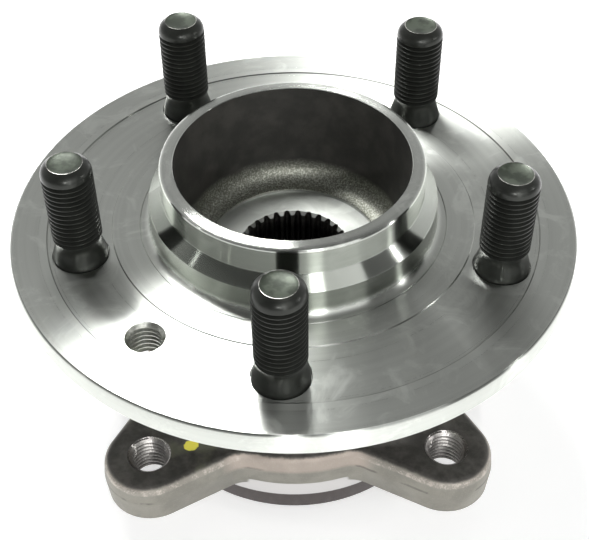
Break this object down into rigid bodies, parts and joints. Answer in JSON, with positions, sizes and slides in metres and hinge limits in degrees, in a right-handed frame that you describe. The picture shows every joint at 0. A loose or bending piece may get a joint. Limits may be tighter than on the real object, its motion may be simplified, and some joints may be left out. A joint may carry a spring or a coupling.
{
  "type": "wheel hub bearing",
  "caption": "Driven wheel hub bearing unit: studded wheel flange with pilots and splined bore turning on two ball rows in an eared outer ring.",
  "frame": {"origin": "on the axis of rotation, at the spindle's rolled end, the lowest face of the unit", "axes": "+Z along the axis of rotation towards the wheel; the outer ring's four ears lie at 45 degrees to X and Y"},
  "size_m": [0.158, 0.158, 0.11],
  "materials": {
    "turned_steel": "turned, oiled",
    "forged_steel": "forged, shot blasted",
    "bearing_steel": "ground",
    "black_steel": "black phosphate",
    "ball_steel": "polished",
    "cage_nylon": "moulded",
    "seal_steel": "pressed",
    "seal_rubber": "moulded",
    "magnetic_rubber": "moulded"
  },
  "bodies": {
    "outer_ring_unit": {"outer_ring": "forged_steel", "outboard_seal_case": "seal_steel", "outboard_seal_lip": "seal_rubber", "inboard_seal_case": "seal_steel", "inboard_seal_lip": "seal_rubber"},
    "hub_unit": {"hub": "turned_steel", "inner_ring": "bearing_steel", "seal_slinger": "seal_steel", "encoder_ring": "magnetic_rubber", "wheel_stud_1": "black_steel", "wheel_stud_2": "black_steel", "wheel_stud_3": "black_steel", "wheel_stud_4": "black_steel", "wheel_stud_5": "black_steel"},
    "outboard_cage": {"outboard_cage": "cage_nylon"},
    "inboard_cage": {"inboard_cage": "cage_nylon"},
    "outboard_ball_01": {"outboard_ball_01": "ball_steel"},
    "outboard_ball_02": {"outboard_ball_02": "ball_steel"},
    "outboard_ball_03": {"outboard_ball_03": "ball_steel"},
    "outboard_ball_04": {"outboard_ball_04": "ball_steel"},
    "outboard_ball_05": {"outboard_ball_05": "ball_steel"},
    "outboard_ball_06": {"outboard_ball_06": "ball_steel"},
    "outboard_ball_07": {"outboard_ball_07": "ball_steel"},
    "outboard_ball_08": {"outboard_ball_08": "ball_steel"},
    "outboard_ball_09": {"outboard_ball_09": "ball_steel"},
    "outboard_ball_10": {"outboard_ball_10": "ball_steel"},
    "outboard_ball_11": {"outboard_ball_11": "ball_steel"},
    "outboard_ball_12": {"outboard_ball_12": "ball_steel"},
    "outboard_ball_13": {"outboard_ball_13": "ball_steel"},
    "inboard_ball_01": {"inboard_ball_01": "ball_steel"},
    "inboard_ball_02": {"inboard_ball_02": "ball_steel"},
    "inboard_ball_03": {"inboard_ball_03": "ball_steel"},
    "inboard_ball_04": {"inboard_ball_04": "ball_steel"},
    "inboard_ball_05": {"inboard_ball_05": "ball_steel"},
    "inboard_ball_06": {"inboard_ball_06": "ball_steel"},
    "inboard_ball_07": {"inboard_ball_07": "ball_steel"},
    "inboard_ball_08": {"inboard_ball_08": "ball_steel"},
    "inboard_ball_09": {"inboard_ball_09": "ball_steel"},
    "inboard_ball_10": {"inboard_ball_10": "ball_steel"},
    "inboard_ball_11": {"inboard_ball_11": "ball_steel"},
    "inboard_ball_12": {"inboard_ball_12": "ball_steel"},
    "inboard_ball_13": {"inboard_ball_13": "ball_steel"}
  },
  "joints": [
    {"name": "hub_spin", "type": "hinge", "parent": "outer_ring_unit", "child": "hub_unit", "pos_m": [0, 0, 0.0482], "axis": [0, 0, 1], "continuous": true},
    {"name": "outboard_cage_orbit", "type": "hinge", "parent": "outer_ring_unit", "child": "outboard_cage", "pos_m": [0, 0, 0.0482], "axis": [0, 0, 1], "continuous": true},
    {"name": "inboard_cage_orbit", "type": "hinge", "parent": "outer_ring_unit", "child": "inboard_cage", "pos_m": [0, 0, 0.0173], "axis": [0, 0, 1], "continuous": true},
    {"name": "outboard_ball_01_spin", "type": "hinge", "parent": "outboard_cage", "child": "outboard_ball_01", "pos_m": [-0.00223, -0.03192, 0.0482], "axis": [-0.041, -0.5864, 0.809], "continuous": true},
    {"name": "outboard_ball_02_spin", "type": "hinge", "parent": "outboard_cage", "child": "outboard_ball_02", "pos_m": [0.01286, -0.0293, 0.0482], "axis": [0.2362, -0.5382, 0.809], "continuous": true},
    {"name": "outboard_ball_03_spin", "type": "hinge", "parent": "outboard_cage", "child": "outboard_ball_03", "pos_m": [0.025, -0.01997, 0.0482], "axis": [0.4593, -0.3668, 0.809], "continuous": true},
    {"name": "outboard_ball_04_spin", "type": "hinge", "parent": "outboard_cage", "child": "outboard_ball_04", "pos_m": [0.03142, -0.00606, 0.0482], "axis": [0.5771, -0.1114, 0.809], "continuous": true},
    {"name": "outboard_ball_05_spin", "type": "hinge", "parent": "outboard_cage", "child": "outboard_ball_05", "pos_m": [0.03064, 0.00923, 0.0482], "axis": [0.5628, 0.1696, 0.809], "continuous": true},
    {"name": "outboard_ball_06_spin", "type": "hinge", "parent": "outboard_cage", "child": "outboard_ball_06", "pos_m": [0.02284, 0.02241, 0.0482], "axis": [0.4195, 0.4117, 0.809], "continuous": true},
    {"name": "outboard_ball_07_spin", "type": "hinge", "parent": "outboard_cage", "child": "outboard_ball_07", "pos_m": [0.00981, 0.03046, 0.0482], "axis": [0.1801, 0.5595, 0.809], "continuous": true},
    {"name": "outboard_ball_08_spin", "type": "hinge", "parent": "outboard_cage", "child": "outboard_ball_08", "pos_m": [-0.00547, 0.03153, 0.0482], "axis": [-0.1005, 0.5791, 0.809], "continuous": true},
    {"name": "outboard_ball_09_spin", "type": "hinge", "parent": "outboard_cage", "child": "outboard_ball_09", "pos_m": [-0.0195, 0.02537, 0.0482], "axis": [-0.3581, 0.4661, 0.809], "continuous": true},
    {"name": "outboard_ball_10_spin", "type": "hinge", "parent": "outboard_cage", "child": "outboard_ball_10", "pos_m": [-0.02906, 0.01341, 0.0482], "axis": [-0.5337, 0.2463, 0.809], "continuous": true},
    {"name": "outboard_ball_11_spin", "type": "hinge", "parent": "outboard_cage", "child": "outboard_ball_11", "pos_m": [-0.03196, -0.00163, 0.0482], "axis": [-0.587, -0.03, 0.809], "continuous": true},
    {"name": "outboard_ball_12_spin", "type": "hinge", "parent": "outboard_cage", "child": "outboard_ball_12", "pos_m": [-0.02754, -0.0163, 0.0482], "axis": [-0.5059, -0.2993, 0.809], "continuous": true},
    {"name": "outboard_ball_13_spin", "type": "hinge", "parent": "outboard_cage", "child": "outboard_ball_13", "pos_m": [-0.01681, -0.02723, 0.0482], "axis": [-0.3088, -0.5001, 0.809], "continuous": true},
    {"name": "inboard_ball_01_spin", "type": "hinge", "parent": "inboard_cage", "child": "inboard_ball_01", "pos_m": [-0.00223, -0.03192, 0.0173], "axis": [0.041, 0.5864, 0.809], "continuous": true},
    {"name": "inboard_ball_02_spin", "type": "hinge", "parent": "inboard_cage", "child": "inboard_ball_02", "pos_m": [0.01286, -0.0293, 0.0173], "axis": [-0.2362, 0.5382, 0.809], "continuous": true},
    {"name": "inboard_ball_03_spin", "type": "hinge", "parent": "inboard_cage", "child": "inboard_ball_03", "pos_m": [0.025, -0.01997, 0.0173], "axis": [-0.4593, 0.3668, 0.809], "continuous": true},
    {"name": "inboard_ball_04_spin", "type": "hinge", "parent": "inboard_cage", "child": "inboard_ball_04", "pos_m": [0.03142, -0.00606, 0.0173], "axis": [-0.5771, 0.1114, 0.809], "continuous": true},
    {"name": "inboard_ball_05_spin", "type": "hinge", "parent": "inboard_cage", "child": "inboard_ball_05", "pos_m": [0.03064, 0.00923, 0.0173], "axis": [-0.5628, -0.1696, 0.809], "continuous": true},
    {"name": "inboard_ball_06_spin", "type": "hinge", "parent": "inboard_cage", "child": "inboard_ball_06", "pos_m": [0.02284, 0.02241, 0.0173], "axis": [-0.4195, -0.4117, 0.809], "continuous": true},
    {"name": "inboard_ball_07_spin", "type": "hinge", "parent": "inboard_cage", "child": "inboard_ball_07", "pos_m": [0.00981, 0.03046, 0.0173], "axis": [-0.1801, -0.5595, 0.809], "continuous": true},
    {"name": "inboard_ball_08_spin", "type": "hinge", "parent": "inboard_cage", "child": "inboard_ball_08", "pos_m": [-0.00547, 0.03153, 0.0173], "axis": [0.1005, -0.5791, 0.809], "continuous": true},
    {"name": "inboard_ball_09_spin", "type": "hinge", "parent": "inboard_cage", "child": "inboard_ball_09", "pos_m": [-0.0195, 0.02537, 0.0173], "axis": [0.3581, -0.4661, 0.809], "continuous": true},
    {"name": "inboard_ball_10_spin", "type": "hinge", "parent": "inboard_cage", "child": "inboard_ball_10", "pos_m": [-0.02906, 0.01341, 0.0173], "axis": [0.5337, -0.2463, 0.809], "continuous": true},
    {"name": "inboard_ball_11_spin", "type": "hinge", "parent": "inboard_cage", "child": "inboard_ball_11", "pos_m": [-0.03196, -0.00163, 0.0173], "axis": [0.587, 0.03, 0.809], "continuous": true},
    {"name": "inboard_ball_12_spin", "type": "hinge", "parent": "inboard_cage", "child": "inboard_ball_12", "pos_m": [-0.02754, -0.0163, 0.0173], "axis": [0.5059, 0.2993, 0.809], "continuous": true},
    {"name": "inboard_ball_13_spin", "type": "hinge", "parent": "inboard_cage", "child": "inboard_ball_13", "pos_m": [-0.01681, -0.02723, 0.0173], "axis": [0.3088, 0.5001, 0.809], "continuous": true}
  ],
  "couplings": [
    {"joint": "outboard_cage_orbit", "follows": "hub_spin", "ratio": 0.41973},
    {"joint": "inboard_cage_orbit", "follows": "hub_spin", "ratio": 0.41973},
    {"joint": "outboard_ball_01_spin", "follows": "hub_spin", "ratio": -2.4548},
    {"joint": "outboard_ball_02_spin", "follows": "hub_spin", "ratio": -2.4548},
    {"joint": "outboard_ball_03_spin", "follows": "hub_spin", "ratio": -2.4548},
    {"joint": "outboard_ball_04_spin", "follows": "hub_spin", "ratio": -2.4548},
    {"joint": "outboard_ball_05_spin", "follows": "hub_spin", "ratio": -2.4548},
    {"joint": "outboard_ball_06_spin", "follows": "hub_spin", "ratio": -2.4548},
    {"joint": "outboard_ball_07_spin", "follows": "hub_spin", "ratio": -2.4548},
    {"joint": "outboard_ball_08_spin", "follows": "hub_spin", "ratio": -2.4548},
    {"joint": "outboard_ball_09_spin", "follows": "hub_spin", "ratio": -2.4548},
    {"joint": "outboard_ball_10_spin", "follows": "hub_spin", "ratio": -2.4548},
    {"joint": "outboard_ball_11_spin", "follows": "hub_spin", "ratio": -2.4548},
    {"joint": "outboard_ball_12_spin", "follows": "hub_spin", "ratio": -2.4548},
    {"joint": "outboard_ball_13_spin", "follows": "hub_spin", "ratio": -2.4548},
    {"joint": "inboard_ball_01_spin", "follows": "hub_spin", "ratio": -2.4548},
    {"joint": "inboard_ball_02_spin", "follows": "hub_spin", "ratio": -2.4548},
    {"joint": "inboard_ball_03_spin", "follows": "hub_spin", "ratio": -2.4548},
    {"joint": "inboard_ball_04_spin", "follows": "hub_spin", "ratio": -2.4548},
    {"joint": "inboard_ball_05_spin", "follows": "hub_spin", "ratio": -2.4548},
    {"joint": "inboard_ball_06_spin", "follows": "hub_spin", "ratio": -2.4548},
    {"joint": "inboard_ball_07_spin", "follows": "hub_spin", "ratio": -2.4548},
    {"joint": "inboard_ball_08_spin", "follows": "hub_spin", "ratio": -2.4548},
    {"joint": "inboard_ball_09_spin", "follows": "hub_spin", "ratio": -2.4548},
    {"joint": "inboard_ball_10_spin", "follows": "hub_spin", "ratio": -2.4548},
    {"joint": "inboard_ball_11_spin", "follows": "hub_spin", "ratio": -2.4548},
    {"joint": "inboard_ball_12_spin", "follows": "hub_spin", "ratio": -2.4548},
    {"joint": "inboard_ball_13_spin", "follows": "hub_spin", "ratio": -2.4548}
  ]
}
